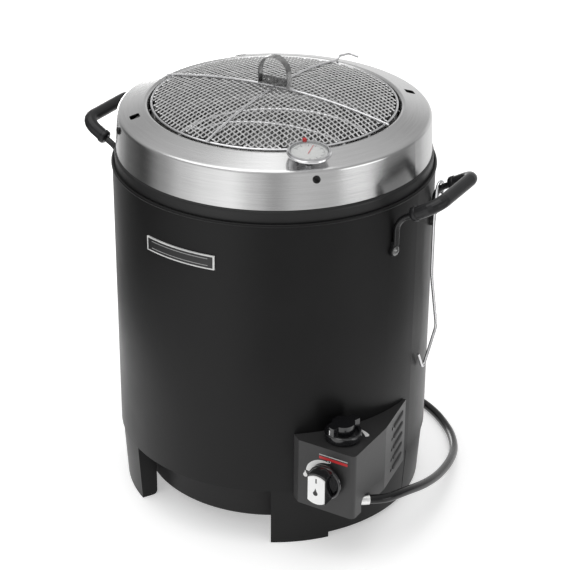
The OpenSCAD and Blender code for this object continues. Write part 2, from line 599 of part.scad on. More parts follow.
module basket_bail() color("#c8c8c8") {
    for (s = [-1, 1]) rod([s * (basket_r - 4.5), 0, basket_top], [s * (basket_r - 13), 0, basket_top], 5);
    wire(bent(concat([[basket_r - 10, 0, basket_top], [basket_r - 17, 0, basket_top]],
        [for (a = [20:20:160]) [(basket_r - 17) * cos(a), bail_reach * sin(a), basket_top]],
        [[17 - basket_r, 0, basket_top], [10 - basket_r, 0, basket_top]]),
        concat([4], [for (i = [1:8]) 60], [4]), 3), 5);
}

// ---------- lifting hook, hung on the right handle's rear arm ----------
module lifting_hook() color("#d2d2d2") translate([hook_x, leg_y, hook_z]) wire(concat(
    [for (a = [-150:15:75]) [0, -hook_r * sin(a), hook_r * cos(a)]],
    bent([[0, -hook_r - 0.1, -1], [0, -13, -40], [0, -12, -120], [0, 10, -204], [0, -26, -252], [0, -42, -222]],
        [60, 120, 14, 5])), hook_wire, 12, [1, 0, 0]);

outer_shell();
shoulder_collar();
top_ring();
ring_screws();
ring_brackets();
badge_plate();
cooking_chamber();
chamber_floor();
firebox_wall();
firebox_floor();
spacer_brackets();
leg_front_left();
leg_front_right();
leg_rear_left();
leg_rear_right();
leg_straps();
burner_ring();
burner_posts();
venturi_tube();
igniter_electrode();
igniter_wire();
tray_rails();
grease_tray();
tray_handle();
control_box();
box_screws();
gas_valve();
valve_plunger();
valve_stem();
control_knob();
knob_insert();
igniter_module();
igniter_spindle();
igniter_knob();
hose_fitting();
gas_hose();
hose_ferrule_valve();
hose_ferrule_regulator();
regulator_body();
regulator_cap();
tank_nipple();
tank_nut();
handle_rod_left();
handle_rod_right();
handle_grip_left();
handle_grip_right();
handle_bolts();
thermometer_case();
thermometer_dial();
thermometer_pointer();
thermometer_lens();
lid_rim();
lid_cross_wires();
lid_mesh();
lid_handle();
basket_rings();
basket_uprights();
basket_floor();
basket_bail();
lifting_hook();
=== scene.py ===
import bmesh
import bpy
import math
from mathutils import Matrix, Vector


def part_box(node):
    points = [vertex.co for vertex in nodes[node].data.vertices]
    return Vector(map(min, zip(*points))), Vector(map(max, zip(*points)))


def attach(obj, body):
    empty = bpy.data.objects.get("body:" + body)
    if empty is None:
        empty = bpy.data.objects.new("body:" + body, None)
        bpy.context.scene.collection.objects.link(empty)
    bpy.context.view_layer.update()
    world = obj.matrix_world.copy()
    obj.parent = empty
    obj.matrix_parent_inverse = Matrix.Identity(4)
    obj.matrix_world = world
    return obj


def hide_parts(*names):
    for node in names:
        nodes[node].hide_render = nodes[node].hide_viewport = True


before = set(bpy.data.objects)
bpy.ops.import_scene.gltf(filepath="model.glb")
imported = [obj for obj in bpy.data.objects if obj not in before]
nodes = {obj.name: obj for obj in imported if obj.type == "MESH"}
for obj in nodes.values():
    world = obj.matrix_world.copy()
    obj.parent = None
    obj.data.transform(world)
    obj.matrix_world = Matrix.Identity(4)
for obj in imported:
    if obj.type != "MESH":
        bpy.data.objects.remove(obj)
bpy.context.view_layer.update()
PI = math.pi

# Metres throughout, except where a comment says otherwise. Angles in the tables are in degrees.


# -------------------------------------------------- camera
CAMERA_TURN = math.radians(30.5)                                # round the pot, from the front to the right
CAMERA_PITCH, CAMERA_YAW, CAMERA_ROLL = 0.481, 0.007, 0.009     # radians
CAMERA_PLACE = (0, -2.214, 1.4329)                              # before the turn round the pot
CAMERA_LENS, CAMERA_SENSOR = 117.0, 36                          # millimetres


def make_camera():
    """The camera stands at the front right, looking down at the pot."""
    pitch, yaw, roll = CAMERA_PITCH, CAMERA_YAW, CAMERA_ROLL
    forward = Vector((math.sin(yaw) * math.cos(pitch), math.cos(yaw) * math.cos(pitch), -math.sin(pitch)))
    right = Vector((math.cos(yaw), -math.sin(yaw), 0))
    up = right.cross(forward)
    right, up = (right * math.cos(roll) + up * math.sin(roll),
                 up * math.cos(roll) - right * math.sin(roll))
    facing = Matrix((right, up, -forward)).transposed()
    data = bpy.data.cameras.new("camera")
    data.lens = CAMERA_LENS
    data.sensor_width = CAMERA_SENSOR
    data.clip_start = 0.05
    data.clip_end = 60
    cam = bpy.data.objects.new("camera", data)
    turn = Matrix.Rotation(CAMERA_TURN, 3, "Z")
    cam.matrix_world = Matrix.Translation(turn @ Vector(CAMERA_PLACE)) @ (turn @ facing).to_4x4()
    bpy.context.scene.collection.objects.link(cam)
    bpy.context.scene.camera = cam


make_camera()


# -------------------------------------------------- mesh helpers
def add_mesh(name, verts, faces, mat, body, smooth=True):
    """Adds an object; body is None only for the stage."""
    me = bpy.data.meshes.new(name)
    me.from_pydata([tuple(v) for v in verts], [], faces)
    me.validate()
    me.update()
    if smooth:
        me.polygons.foreach_set("use_smooth", [True] * len(me.polygons))
    ob = bpy.data.objects.new(name, me)
    bpy.context.scene.collection.objects.link(ob)
    me.materials.append(mat)
    if body:
        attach(ob, body)
    return ob


def sharp_edges(ob, angle=35):
    """Smooth shading that keeps edges steeper than angle crisp."""
    me = ob.data
    me.polygons.foreach_set("use_smooth", [True] * len(me.polygons))
    bpy.context.view_layer.objects.active = ob
    me.set_sharp_from_angle(angle=math.radians(angle))


def shift(x, y, z):
    return Matrix.Translation((x, y, z))


def turned(degrees, axis):
    return Matrix.Rotation(math.radians(degrees), 4, axis)


def moved(verts, matrix):
    return [matrix @ v for v in verts]


def merge(parts):
    """Several (verts, faces) as one."""
    verts, faces = [], []
    for v, f in parts:
        faces += [tuple(i + len(verts) for i in q) for q in f]
        verts += v
    return verts, faces


def tube_mesh(path, radius, sides):
    """A round tube along a path, with flat ends."""
    last = len(path) - 1
    u = Vector((0, 0, 1))
    verts, faces = [], []
    for i, p in enumerate(path):
        t = (path[min(i + 1, last)] - path[max(i - 1, 0)]).normalized()
        u = (u - u.dot(t) * t).normalized()
        v = t.cross(u)
        for k in range(sides):
            w = 2 * PI * k / sides
            verts.append(p + radius * (math.cos(w) * u + math.sin(w) * v))
    for i in range(last):
        for k in range(sides):
            a, b = i * sides + k, i * sides + (k + 1) % sides
            faces.append((a, b, b + sides, a + sides))
    faces.append(tuple(range(sides))[::-1])
    faces.append(tuple(last * sides + k for k in range(sides)))
    return verts, faces


def lathe_ring(outline, sides):
    """Revolves a closed outline of (r, z) points about Z."""
    verts = [Vector((r * math.cos(2 * PI * k / sides), r * math.sin(2 * PI * k / sides), z))
             for r, z in outline for k in range(sides)]
    faces = []
    for i in range(len(outline)):
        j = (i + 1) % len(outline)
        for k in range(sides):
            m = (k + 1) % sides
            faces.append((i * sides + k, i * sides + m, j * sides + m, j * sides + k))
    return verts, faces


def catmull(pts, steps):
    """A smooth curve through points."""
    out = []
    for i in range(steps + 1):
        t = (len(pts) - 1) * i / steps
        k = min(int(t), len(pts) - 2)
        f = t - k
        a, b, c, d = pts[max(k - 1, 0)], pts[k], pts[k + 1], pts[min(k + 2, len(pts) - 1)]
        out.append(0.5 * (2 * b + (c - a) * f + (2 * a - 5 * b + 4 * c - d) * f * f
                          + (3 * b - a - 3 * c + d) * f ** 3))
    return out


# -------------------------------------------------- shader nodes
class Shading:
    """Short ways to add nodes to one tree. A value is a number, a colour or another node's output."""

    def __init__(self, tree):
        self.tree = tree

    def put(self, value, socket):
        if value is None:
            return
        if isinstance(value, (int, float)):
            socket.default_value = value
        elif isinstance(value, tuple):
            socket.default_value = (*value[:3], 1) if len(socket.default_value) == 4 else value
        else:
            self.tree.links.new(value, socket)

    def put_all(self, node, values):
        """Sets inputs by name, with an underscore for each space."""
        for key, value in values.items():
            self.put(value, node.inputs[key.replace("_", " ")])
        return node

    def new(self, kind, **values):
        return self.put_all(self.tree.nodes.new(kind), values)

    def math(self, op, a, b=None):
        node = self.new("ShaderNodeMath")
        node.operation = op
        self.put(a, node.inputs[0])
        self.put(b, node.inputs[1])
        return node.outputs[0]

    def split(self, vec):
        return self.new("ShaderNodeSeparateXYZ", Vector=vec).outputs

    def noise(self, vec, scale, detail=3, rough=0.5):
        return self.new("ShaderNodeTexNoise", Vector=vec, Scale=scale, Detail=detail,
                        Roughness=rough).outputs["Fac"]

    def remap(self, value, lo, hi, from_lo=0.3, from_hi=0.7, kind="LINEAR"):
        node = self.new("ShaderNodeMapRange", Value=value, From_Min=from_lo, From_Max=from_hi,
                        To_Min=lo, To_Max=hi)
        node.interpolation_type = kind
        return node.outputs[0]

    def mix(self, fac, a, b):
        node = self.new("ShaderNodeMix")
        node.data_type = "RGBA"
        for value, k in ((fac, 0), (a, 6), (b, 7)):
            self.put(value, node.inputs[k])
        return node.outputs[2]

    def bump(self, height, strength, distance, under=None):
        return self.new("ShaderNodeBump", Strength=strength, Distance=distance, Height=height,
                        Normal=under).outputs[0]

    def from_axis(self, x, y):
        """Distance from the pot's axis."""
        return self.math("SQRT", self.math("ADD", self.math("MULTIPLY", x, x), self.math("MULTIPLY", y, y)))

    def round_coords(self, vec, turn, out, up):
        """Coordinates that follow the pot: angle round Z, distance from Z, height."""
        x, y, z = self.split(vec)
        angle = self.math("ARCTAN2", y, x)
        return self.new("ShaderNodeCombineXYZ", X=self.math("MULTIPLY", angle, turn),
                        Y=self.math("MULTIPLY", self.from_axis(x, y), out),
                        Z=self.math("MULTIPLY", z, up)).outputs[0]


class Finish(Shading):
    """A new material, built up round its Principled shader."""

    def __init__(self, name):
        self.mat = bpy.data.materials.new(name)
        self.mat.use_nodes = True
        super().__init__(self.mat.node_tree)
        self.bsdf = self.tree.nodes["Principled BSDF"]

    def place(self):
        return self.new("ShaderNodeTexCoord").outputs["Object"]

    def set(self, **values):
        self.put_all(self.bsdf, values)
        return self.mat


# -------------------------------------------------- materials
def powder_coat(name, dark, light, rough, grain=900, depth=0.00012, spec=0.5, sheen=0.0):
    """Painted sheet: fine orange-peel grain, slow variation in shade and sheen."""
    n = Finish(name)
    p = n.place()
    slow = n.noise(p, 6, 4, 0.6)
    fine = n.noise(p, grain, 2)
    mid = n.noise(p, grain / 6, 3, 0.6)
    return n.set(Base_Color=n.mix(n.remap(slow, 0, 1), dark, light),
                 Roughness=n.remap(slow, rough - 0.06, rough + 0.07),
                 Normal=n.bump(fine, 0.35, depth, n.bump(mid, 0.2, depth * 2)),
                 Specular_IOR_Level=spec, Sheen_Weight=sheen, Sheen_Roughness=0.3)


def brushed(name, dark, light, rough, turn=3, across=900, depth=0.00003, aniso=0.55, soot_from=None):
    """Steel brushed round the pot; further from the axis than soot_from it is black."""
    n = Finish(name)
    p = n.place()
    grain = n.noise(n.round_coords(p, turn, across, across), 1, 4, 0.65)
    broad = n.noise(n.round_coords(p, 1.2, 30, 30), 1, 3, 0.6)
    tangent = n.new("ShaderNodeTangent")
    tangent.direction_type = "RADIAL"
    tangent.axis = "Z"
    color = n.mix(n.remap(grain, 0, 1), dark, light)
    if soot_from:
        x, y = n.split(p)[:2]
        color = n.mix(n.math("GREATER_THAN", n.from_axis(x, y), soot_from), color, (0.02, 0.02, 0.02))
    return n.set(Base_Color=color, Metallic=1.0, Normal=n.bump(grain, 0.2, depth),
                 Roughness=n.math("ADD", n.remap(grain, rough - 0.02, rough + 0.025),
                                  n.remap(broad, -0.02, 0.03)),
                 Tangent=tangent.outputs[0], Anisotropic=aniso, Anisotropic_Rotation=0.25)


def bright_metal(name, dark, light, rough, scale, depth=0.00002):
    """Plated wire or plain bright sheet with small uneven patches."""
    n = Finish(name)
    p = n.place()
    patch = n.noise(p, scale, 4, 0.6)
    fine = n.noise(p, scale * 14, 2)
    return n.set(Base_Color=n.mix(n.remap(patch, 0, 1), dark, light), Metallic=1.0,
                 Roughness=n.remap(patch, rough * 0.7, rough * 1.5), Normal=n.bump(fine, 0.25, depth))


def plastic(name, dark, light, rough, coat=0.0, grain=1400, depth=0.00004, spec=0.5):
    """Moulded plastic, print or glaze with a very fine grain."""
    n = Finish(name)
    p = n.place()
    slow = n.noise(p, 25, 3, 0.6)
    fine = n.noise(p, grain, 2)
    return n.set(Base_Color=n.mix(n.remap(slow, 0, 1), dark, light),
                 Roughness=n.remap(slow, rough * 0.85, rough * 1.2), Normal=n.bump(fine, 0.2, depth),
                 Specular_IOR_Level=spec, Coat_Weight=coat, Coat_Roughness=0.06)


def rubber(name):
    """Smooth black hose with a little dust on it."""
    n = Finish(name)
    p = n.place()
    slow = n.noise(p, 18, 4, 0.6)
    fine = n.noise(p, 1600, 2)
    dust = n.noise(p, 220, 3, 0.7)
    return n.set(Base_Color=n.mix(n.remap(slow, 0, 1), (0.0025, 0.0025, 0.003), (0.006, 0.006, 0.0065)),
                 Specular_IOR_Level=0.34, Roughness=n.remap(dust, 0.17, 0.28),
                 Normal=n.bump(fine, 0.3, 0.00006))


def glass(name):
    """Thin clear lens, slightly smeared."""
    n = Finish(name)
    smear = n.noise(n.place(), 90, 3, 0.6)
    return n.set(Base_Color=(0.96, 0.98, 0.98), Roughness=n.remap(smear, 0.03, 0.09), Alpha=0.16)


BADGE_MIDDLE = (-93.5, 0.4105)      # angle round the pot, height
BADGE_FIELD = (13.45, 0.00785)      # half the dark field inside the border: angle, height
BADGE_LINES = (11.6, 0.0046)        # half the length of the two lines, their distance from the middle
BADGE_LINE_HALF = 0.00045


def badge_paint(name):
    """A dark plate with a light border and two plain lines, in place of lettering."""
    n = Finish(name)
    p = n.place()
    x, y, z = n.split(p)
    turn = n.math("MULTIPLY", n.math("ARCTAN2", y, x), 180 / PI)
    off_a = n.math("ABSOLUTE", n.math("ADD", turn, -BADGE_MIDDLE[0]))
    off_z = n.math("ABSOLUTE", n.math("SUBTRACT", z, BADGE_MIDDLE[1]))
    inside = n.math("MULTIPLY", n.math("LESS_THAN", off_a, BADGE_FIELD[0]),
                    n.math("LESS_THAN", off_z, BADGE_FIELD[1]))
    from_line = n.math("ABSOLUTE", n.math("SUBTRACT", off_z, BADGE_LINES[1]))
    line = n.math("MULTIPLY", n.math("LESS_THAN", off_a, BADGE_LINES[0]),
                  n.math("LESS_THAN", from_line, BADGE_LINE_HALF))
    slow = n.noise(p, 60, 3, 0.6)
    light = n.mix(n.remap(slow, 0, 1), (0.52, 0.52, 0.52), (0.66, 0.66, 0.65))
    dark = n.mix(n.remap(slow, 0, 1), (0.008, 0.008, 0.0085), (0.013, 0.013, 0.0135))
    fine = n.noise(p, 1500, 2)
    return n.set(Base_Color=n.mix(inside, light, n.mix(line, dark, (0.30, 0.30, 0.30))),
                 Roughness=n.remap(slow, 0.30, 0.42), Normal=n.bump(fine, 0.2, 0.00004))


SOOT_FROM = 0.15458     # between the cooking chamber's two faces: bright inside, black outside

M = {
    "shell": powder_coat("shell_coat", (0.0038, 0.0037, 0.0039), (0.0062, 0.0061, 0.0063), 0.40,
                         spec=0.22, sheen=0.10),
    "legs": powder_coat("leg_coat", (0.0045, 0.0044, 0.0046), (0.0072, 0.0071, 0.0073), 0.44,
                        spec=0.22, sheen=0.10),
    "collar": powder_coat("collar_coat", (0.012, 0.012, 0.0122), (0.018, 0.018, 0.0182), 0.40,
                          spec=0.30, sheen=0.08),
    "firebox": powder_coat("firebox_coat", (0.009, 0.009, 0.0095), (0.015, 0.0145, 0.0145), 0.5, spec=0.25),
    "box": powder_coat("box_coat", (0.022, 0.0218, 0.0222), (0.034, 0.0337, 0.034), 0.42,
                       grain=700, depth=0.00028, spec=0.42, sheen=0.12),
    "rod": powder_coat("rod_coat", (0.005, 0.005, 0.0055), (0.010, 0.010, 0.0105), 0.26,
                       grain=1400, depth=0.00008, spec=0.42),
    "iron": powder_coat("burner_iron", (0.045, 0.040, 0.036), (0.11, 0.10, 0.09), 0.62,
                        grain=500, depth=0.0004),

    "ring": brushed("ring_steel", (0.55, 0.55, 0.55), (0.62, 0.62, 0.62), 0.21, depth=0.00001, aniso=0.45),
    "chamber": brushed("chamber_steel", (0.74, 0.74, 0.73), (0.86, 0.86, 0.85), 0.26,
                       turn=2, across=500, soot_from=SOOT_FROM),

    "zinc": bright_metal("zinc_steel", (0.36, 0.36, 0.35), (0.50, 0.50, 0.48), 0.35, 90),
    "chrome": bright_metal("plated_wire", (0.62, 0.62, 0.63), (0.80, 0.80, 0.81), 0.16, 120),
    "mesh": bright_metal("mesh_steel", (0.60, 0.60, 0.60), (0.78, 0.78, 0.78), 0.34, 150),
    "strap": bright_metal("strap_steel", (0.26, 0.26, 0.26), (0.42, 0.42, 0.42), 0.22, 140),
    "black_oxide": bright_metal("black_oxide", (0.015, 0.015, 0.016), (0.05, 0.05, 0.05), 0.32, 260),
    "bolt": bright_metal("bolt_steel", (0.12, 0.12, 0.12), (0.26, 0.26, 0.26), 0.22, 260),
    "crimp": bright_metal("crimp_metal", (0.74, 0.74, 0.73), (0.86, 0.86, 0.85), 0.30, 200),
    "brass": bright_metal("turned_brass", (0.52, 0.36, 0.13), (0.70, 0.52, 0.22), 0.28, 110),
    "diecast": bright_metal("diecast", (0.36, 0.36, 0.36), (0.48, 0.48, 0.48), 0.45, 300, depth=0.0001),

    "grip": plastic("grip_plastic", (0.006, 0.006, 0.007), (0.012, 0.012, 0.013), 0.32,
                    grain=1500, depth=0.00008, spec=0.36),
    "gloss": plastic("gloss_plastic", (0.005, 0.005, 0.006), (0.009, 0.009, 0.010), 0.16, coat=0.6),
    "white": plastic("white_plastic", (0.80, 0.80, 0.80), (0.88, 0.88, 0.87), 0.35, coat=0.1),
    "dial": plastic("dial_card", (0.50, 0.50, 0.49), (0.58, 0.58, 0.57), 0.45),
    "ceramic": plastic("ceramic", (0.74, 0.71, 0.64), (0.84, 0.81, 0.75), 0.25, coat=0.4),
    "jacket": plastic("wire_jacket", (0.30, 0.30, 0.30), (0.40, 0.40, 0.39), 0.5),
    # White for print, also used for the painted highlight on the spark knob
    "print_and_highlight_white": plastic("white_print_and_painted_highlight", (0.70, 0.70, 0.70), (0.82, 0.82, 0.81), 0.50),
    "print_grey": plastic("grey_print", (0.42, 0.42, 0.42), (0.56, 0.56, 0.55), 0.50),
    "print_red": plastic("red_print", (0.42, 0.012, 0.016), (0.55, 0.022, 0.024), 0.45),
    "print_black": plastic("black_print", (0.010, 0.010, 0.010), (0.020, 0.020, 0.020), 0.45),

    "rubber": rubber("hose_rubber"),
    "glass": glass("dial_glass"),
    "badge": badge_paint("badge_paint"),
}


# -------------------------------------------------- gas hose
# The middle of the hose in millimetres, from the valve's fitting down and round behind the pot
HOSE = [(225, -137, 89), (241, -118, 86), (249, -80, 77), (252, -30, 61), (248, 23, 45), (237, 80, 30),
        (220, 131, 17), (195, 175, 9), (169, 204, 6.2), (145, 223, 6.2), (118, 238, 6.2), (88, 248, 6.2),
        (56, 254, 6.2), (24, 256, 6.2), (0, 256, 7), (-22, 256, 11), (-42, 256, 16.6), (-52, 256, 19.6)]
HOSE_RADIUS = 0.006

hose_path = catmull([Vector(p) / 1000 for p in HOSE], 150)
v, f = tube_mesh(hose_path, HOSE_RADIUS, 24)
hose = add_mesh("rubber_hose", v, f, M["rubber"], "pot")
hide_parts("gas_hose")


# -------------------------------------------------- CAD nodes keep their shape and get finishes
LOOK = {
    "shell": "outer_shell",
    "collar": "shoulder_collar",
    "ring": "top_ring",
    "badge": "badge_plate",
    "black_oxide": "ring_screws box_screws",
    "bolt": "handle_bolts",
    "zinc": "ring_brackets spacer_brackets burner_posts tray_rails grease_tray igniter_spindle",
    "chamber": "cooking_chamber chamber_floor",
    "firebox": "firebox_wall firebox_floor",
    "legs": "leg_front_left leg_front_right leg_rear_left leg_rear_right leg_straps",
    "iron": "burner_ring venturi_tube",
    "ceramic": "igniter_electrode",
    "jacket": "igniter_wire",
    "rod": "tray_handle handle_rod_left handle_rod_right",
    "grip": "handle_grip_left handle_grip_right",
    "box": "control_box",
    "brass": "gas_valve valve_plunger valve_stem hose_fitting tank_nipple",
    "gloss": "control_knob igniter_module igniter_knob tank_nut",
    "white": "knob_insert",
    "crimp": "hose_ferrule_valve hose_ferrule_regulator",
    "diecast": "regulator_body",
    "print_red": "regulator_cap thermometer_pointer",
    "chrome": "thermometer_case lid_rim lid_cross_wires basket_rings basket_uprights basket_floor basket_bail"
              " lifting_hook",
    "dial": "thermometer_dial",
    "mesh": "lid_mesh",
    "strap": "lid_handle",
}


def dress(name, look):
    materials = nodes[name].data.materials
    materials.clear()
    materials.append(M[look])


for look, names in LOOK.items():
    for name in names.split():
        dress(name, look)
        sharp_edges(nodes[name])
dress("thermometer_lens", "glass")


# -------------------------------------------------- printed marks, plain and without lettering, and one painted highlight
PRINT = 0.00012         # thickness of print on the control box
KNOB_MARK = 0.0001     # on the knobs: print, and the painted highlight on the spark knob
DIAL_PRINT = 0.00006    # on the dial
CLEAR = 0.00002         # print starts this far off its surface


def plate(name, outline, thick, place, look, body, hole=None):
    """A thin flat piece: a closed outline in its own XY plane, or the band between it and a hole."""
    n = len(outline)
    if hole:
        verts = [Vector((x, y, z)) for z in (0, thick) for loop in (outline, hole) for x, y in loop]
        faces = []
        for i in range(n):
            j = (i + 1) % n
            faces += [(i, j, n + j, n + i)[::-1], (2 * n + i, 2 * n + j, 3 * n + j, 3 * n + i),
                      (i, j, 2 * n + j, 2 * n + i), (n + j, n + i, 3 * n + i, 3 * n + j)]
    else:
        verts = [Vector((x, y, z)) for z in (0, thick) for x, y in outline]
        faces = [tuple(range(n))[::-1], tuple(range(n, 2 * n))]
        faces += [(i, (i + 1) % n, n + (i + 1) % n, n + i) for i in range(n)]
    return add_mesh(name, moved(verts, place), faces, M[look], body, smooth=False)


def crescent(inner, outer, start, end, steps=28):
    """Outline of a curved stroke between two radii, each a function of 0..1, from start to end degrees."""
    t = [i / steps for i in range(steps + 1)]
    ang = [math.radians(start + (end - start) * k) for k in t]
    return ([(outer(k) * math.cos(a), outer(k) * math.sin(a)) for k, a in zip(t, ang)]
            + [(inner(k) * math.cos(a), inner(k) * math.sin(a)) for k, a in reversed(list(zip(t, ang)))])


def drop(width, height, steps=20):
    """Outline of a plain drop with its point up, centred on its round end."""
    r = width / 2
    turns = [math.radians(-200 + 220 * i / steps) for i in range(steps + 1)]
    return [(r * math.cos(a), r * math.sin(a)) for a in turns] + [(r * 0.42, r * 1.15), (0, height - r),
                                                                  (-r * 0.42, r * 1.15)]


def disc(r, sides=32):
    return [(r * math.cos(2 * PI * i / sides), r * math.sin(2 * PI * i / sides)) for i in range(sides)]


def oblong(x0, y0, x1, y1):
    return [(x0, y0), (x1, y0), (x1, y1), (x0, y1)]


def face_front(x, y, z):
    """Plane with its X to the right and its Y up, facing the front."""
    return shift(x, y, z) @ turned(90, "X")


# Control panel: marks round the burner knob. Outlines are measured from the knob's axis
KNOB_X, KNOB_Z, PANEL_Y = 0.184, 0.127, -0.175
panel = face_front(KNOB_X, PANEL_Y - CLEAR, KNOB_Z)
heat_scale = crescent(lambda t: 0.0235, lambda t: 0.0250 + 0.0066 * min(1, 1.25 * t) ** 0.9, 88, 172)
plate("heat_scale", heat_scale, PRINT, panel, "print_and_highlight_white", "pot")
plate("off_mark", disc(0.0023), PRINT, panel @ shift(0.0022, 0.0268, 0), "print_and_highlight_white", "pot",
      hole=disc(0.0015))
plate("flame_drop", drop(0.0062, 0.0102), PRINT, panel @ shift(-0.0322, -0.0035, 0), "print_and_highlight_white", "pot")
plate("red_stripe", oblong(-0.0125, 0.028, 0.0285, 0.0318), PRINT, panel, "print_red", "pot")
plate("light_stripe", oblong(-0.0125, 0.0335, 0.0285, 0.0347), PRINT, panel, "print_grey", "pot")

# On the burner knob's insert
on_knob = face_front(KNOB_X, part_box("knob_insert")[0][1] - CLEAR, KNOB_Z)
plate("knob_tick", oblong(-0.0009, 0.0105, 0.0009, 0.0172), KNOB_MARK, on_knob, "print_black", "burner_knob")
plate("knob_drop", drop(0.0066, 0.0112), KNOB_MARK, on_knob @ shift(-0.0008, -0.0050, 0), "print_black",
      "burner_knob")

# Top of the control box, and the end of the spark knob, where a small white mark is a painted highlight
SPARK_X, SPARK_Y, BOX_TOP = 0.187, -0.141, 0.172
SPARK_KNOB_TURN, SPARK_KNOB_REACH, SPARK_HIGHLIGHT_UP = -20, 0.023, 0.0155
spark_scale = crescent(lambda t: 0.0280 + 0.0004 * t,
                       lambda t: 0.0284 + 0.0060 * min(1, 1.12 * t) ** 0.8 * (1 - max(0, t - 0.9) * 4),
                       84, 36)
plate("spark_scale", spark_scale, PRINT, shift(SPARK_X, SPARK_Y, BOX_TOP + CLEAR), "print_and_highlight_white", "pot")
knob_end = (shift(SPARK_X, SPARK_Y, 0) @ turned(SPARK_KNOB_TURN, "Z")
            @ face_front(0, -SPARK_KNOB_REACH - CLEAR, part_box("igniter_knob")[0][2] + SPARK_HIGHLIGHT_UP))
# A painted highlight: a small white mark on the spark knob's end face that stands in for a reflection
plate("spark_knob_painted_highlight", oblong(-0.0009, -0.0035, 0.0009, 0.0035), KNOB_MARK, knob_end, "print_and_highlight_white",
      "spark_knob")


# -------------------------------------------------- louvre hoods over the slots in the box's side
HOOD_LENGTH, HOOD_TALL, HOOD_OUT, HOOD_SHEET = 0.035, 0.0052, 0.0026, 0.0006
HOODS, HOOD_STEP, FIRST_HOOD = 5, 0.016, (0.0275, -0.00102, 0.0922)
PANEL_END, PANEL_TURN, HOOD_LEAN = (0.2225, -0.092), 98, -4


def hood(steps=18):
    """A pressed hood: X along the slot, Y out of the panel, Z up; open below, closed at its rounded ends."""
    verts, faces = [], []
    for i in range(steps + 1):
        t = i / steps
        x = HOOD_LENGTH * (1 - math.cos(PI * t)) / 2
        out = HOOD_OUT * (math.sin(PI * t) ** 0.35 if 0 < t < 1 else 0)
        under = max(out - HOOD_SHEET, 0)
        section = [(0, 0.62), (out * 0.45, 0.55), (out * 0.85, 0.25), (out, -0.18), (out, -0.30),
                   (under, -0.30), (under * 0.85, 0.1), (0, 0.42)]     # out of the panel, part of the height
        verts += [Vector((x, y, z * HOOD_TALL)) for y, z in section]
    m = len(section)
    for i in range(steps):
        for a in range(i * m, i * m + m - 1):
            faces.append((a, a + 1, a + 1 + m, a + m))
    return verts, faces


side_panel = shift(*PANEL_END, 0) @ turned(PANEL_TURN, "Z")
hood_verts, hood_faces = hood()
hood_faces = [q[::-1] for q in hood_faces]
hoods = []
for i in range(HOODS):
    x, y, z = FIRST_HOOD
    place = side_panel @ shift(x, y, z + HOOD_STEP * i) @ turned(HOOD_LEAN, "Y")
    hoods.append((moved(hood_verts, place @ Matrix.Scale(-1, 4, (0, 1, 0)) @ shift(0.003, 0, 0)), hood_faces))
v, f = merge(hoods)
sharp_edges(add_mesh("louvre_hoods", v, f, M["box"], "pot"), 50)


# -------------------------------------------------- thermometer face
PROBE_ANGLE, PROBE_OUT, PROBE_UP, PROBE_LEAN = -46.6, 0.186, 0.541, 5    # where the stem enters the ring
DIAL_UP = 0.01031               # just off the dial card, along the stem
SCALE_START, SCALE_SWEEP, SCALE_STEPS, MAJOR = -10, 240, 40, 5
TICK_HALF = (0.00022, 0.00050)  # half a tick's width: minor, major
TICK_FROM = (0.0172, 0.0152)    # the radius it starts at: minor, major
TICK_TO = 0.0198
ARC_FROM, ARC_TO = 0.0206, 0.0219

probe = turned(PROBE_ANGLE, "Z") @ shift(PROBE_OUT, 0, PROBE_UP) @ turned(PROBE_LEAN, "Y")
face = probe @ shift(0, 0, DIAL_UP)
ticks = []
for i in range(SCALE_STEPS + 1):
    major = i % MAJOR == 0
    a = math.radians(SCALE_START + SCALE_SWEEP * i / SCALE_STEPS)
    c = Vector((math.cos(a), math.sin(a), 0))
    w = Vector((-math.sin(a), math.cos(a), 0)) * TICK_HALF[major]
    up = Vector((0, 0, DIAL_PRINT))
    base = [c * TICK_FROM[major] - w, c * TICK_TO - w, c * TICK_TO + w, c * TICK_FROM[major] + w]
    ticks.append((base + [q + up for q in base],
                  [(3, 2, 1, 0), (4, 5, 6, 7), (0, 1, 5, 4), (1, 2, 6, 5), (2, 3, 7, 6), (3, 0, 4, 7)]))
v, f = merge(ticks)
add_mesh("dial_ticks", moved(v, face), f, M["print_black"], "thermometer", smooth=False)
warm_arc = crescent(lambda t: ARC_FROM, lambda t: ARC_TO, 50, 230)
plate("dial_warm_arc", warm_arc, DIAL_PRINT, face, "print_grey", "thermometer")
hot_arc = crescent(lambda t: ARC_FROM, lambda t: ARC_TO, -10, 48)
plate("dial_hot_arc", hot_arc, DIAL_PRINT, face, "print_red", "thermometer")
GASKET = [(0.0222, 0.0), (0.0233, 0.0), (0.0233, 0.0014), (0.0228, 0.0018), (0.0222, 0.0012)]
v, f = lathe_ring(GASKET, 96)
add_mesh("dial_gasket", moved(v, face), f, M["print_black"], "thermometer")


def rounded_block(size, bevel=0.0004):
    """A small block with soft edges, centred in X and Y and standing on Z = 0."""
    bm = bmesh.new()
    bmesh.ops.create_cube(bm, size=1.0)
    for q in bm.verts:
        q.co = Vector((q.co.x * size[0], q.co.y * size[1], (q.co.z + 0.5) * size[2]))
    bmesh.ops.bevel(bm, geom=bm.edges[:], offset=bevel, segments=3, affect="EDGES")
    verts = [q.co.copy() for q in bm.verts]
    bm.verts.index_update()
    faces = [tuple(q.index for q in fc.verts) for fc in bm.faces]
    bm.free()
    return verts, faces


# The red marker on the case's rim
MARKER_SIZE, MARKER_OUT, MARKER_UP = (0.0048, 0.0046, 0.0046), 0.0245, 0.0118
v, f = rounded_block(MARKER_SIZE)
v = moved(v, probe @ turned(180, "Z") @ shift(MARKER_OUT, 0, MARKER_UP))
add_mesh("dial_marker", v, f, M["print_red"], "thermometer")


